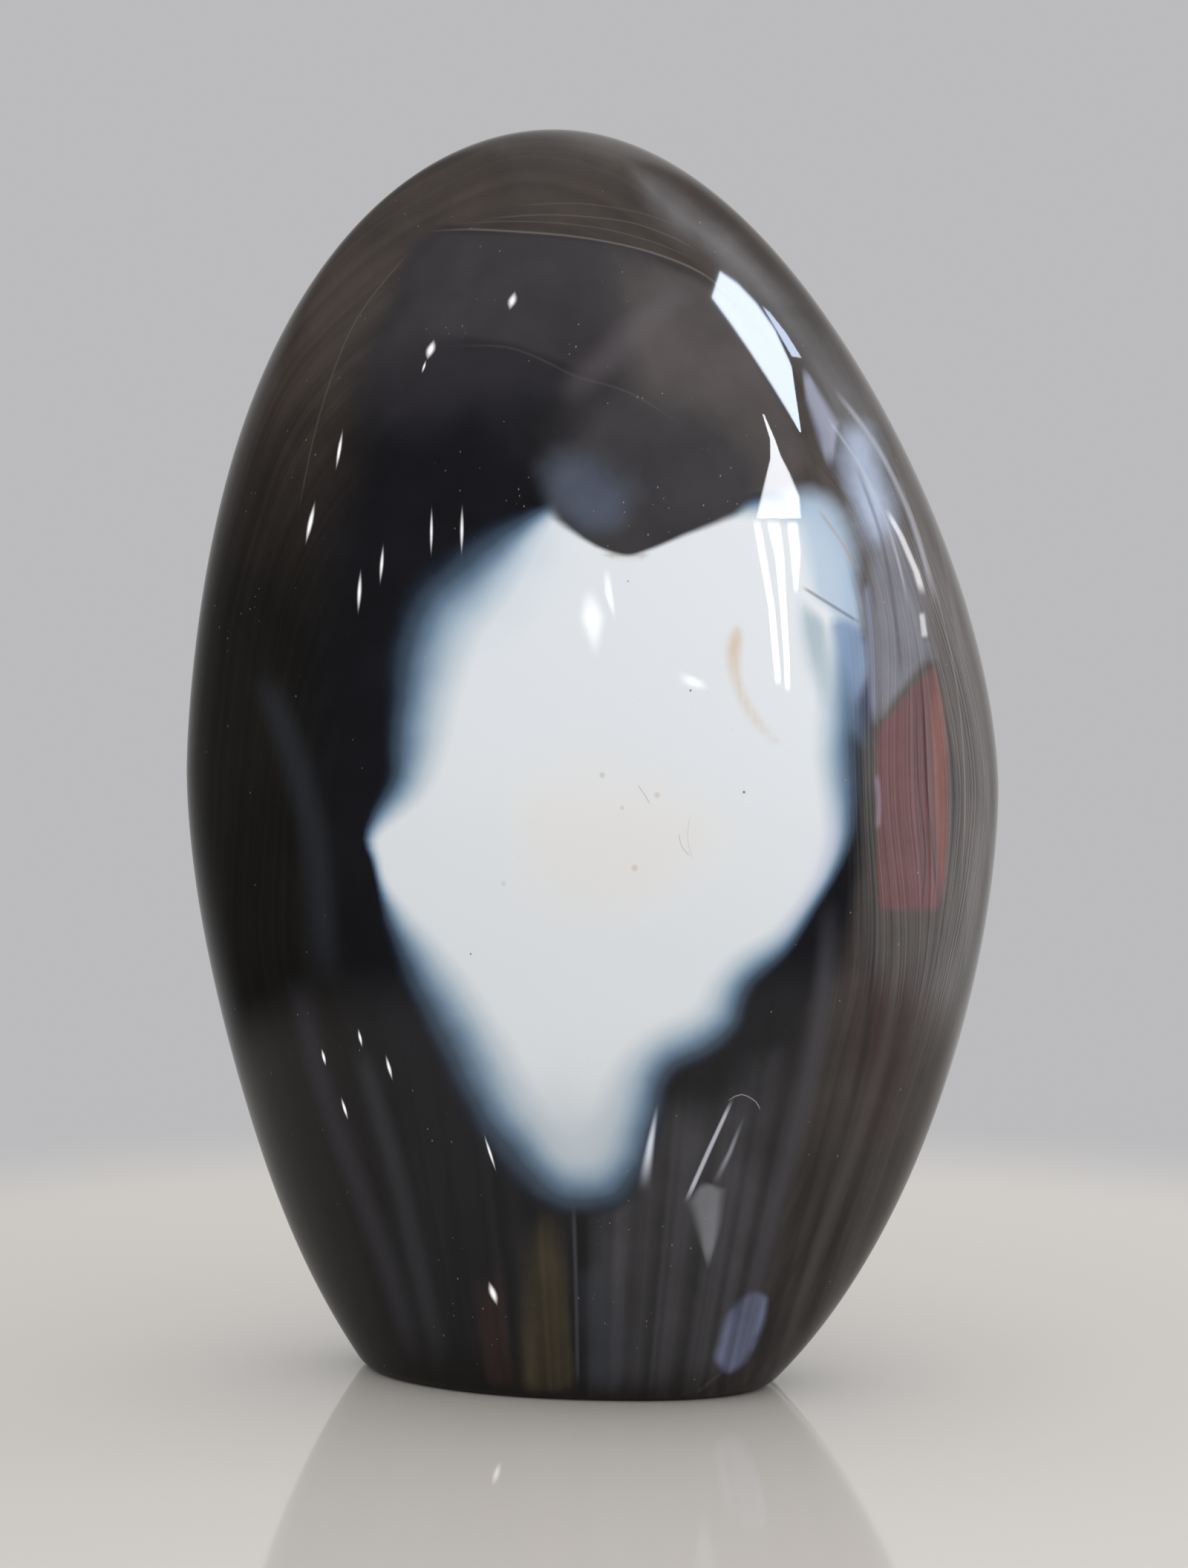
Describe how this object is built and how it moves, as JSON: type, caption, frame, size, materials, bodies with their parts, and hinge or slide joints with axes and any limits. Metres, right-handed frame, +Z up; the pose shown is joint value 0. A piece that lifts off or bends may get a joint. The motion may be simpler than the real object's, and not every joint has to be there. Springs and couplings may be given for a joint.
{
  "type": "agate freeform",
  "caption": "Polished agate freeform: a leaning, flattened egg of dark banded chalcedony with a cloudy white patch on its front, standing on a small flat cut.",
  "frame": {"origin": "middle of the bounding box's plan, at the surface that the stone stands on", "axes": "+Z up along the stone's height, +X to the right seen from the front, the broad front face with the white patch looks along -Y"},
  "size_m": [0.0712, 0.0488, 0.11],
  "materials": {
    "polished_agate": "polished"
  },
  "bodies": {
    "root": {"stone": "polished_agate"}
  },
  "joints": []
}
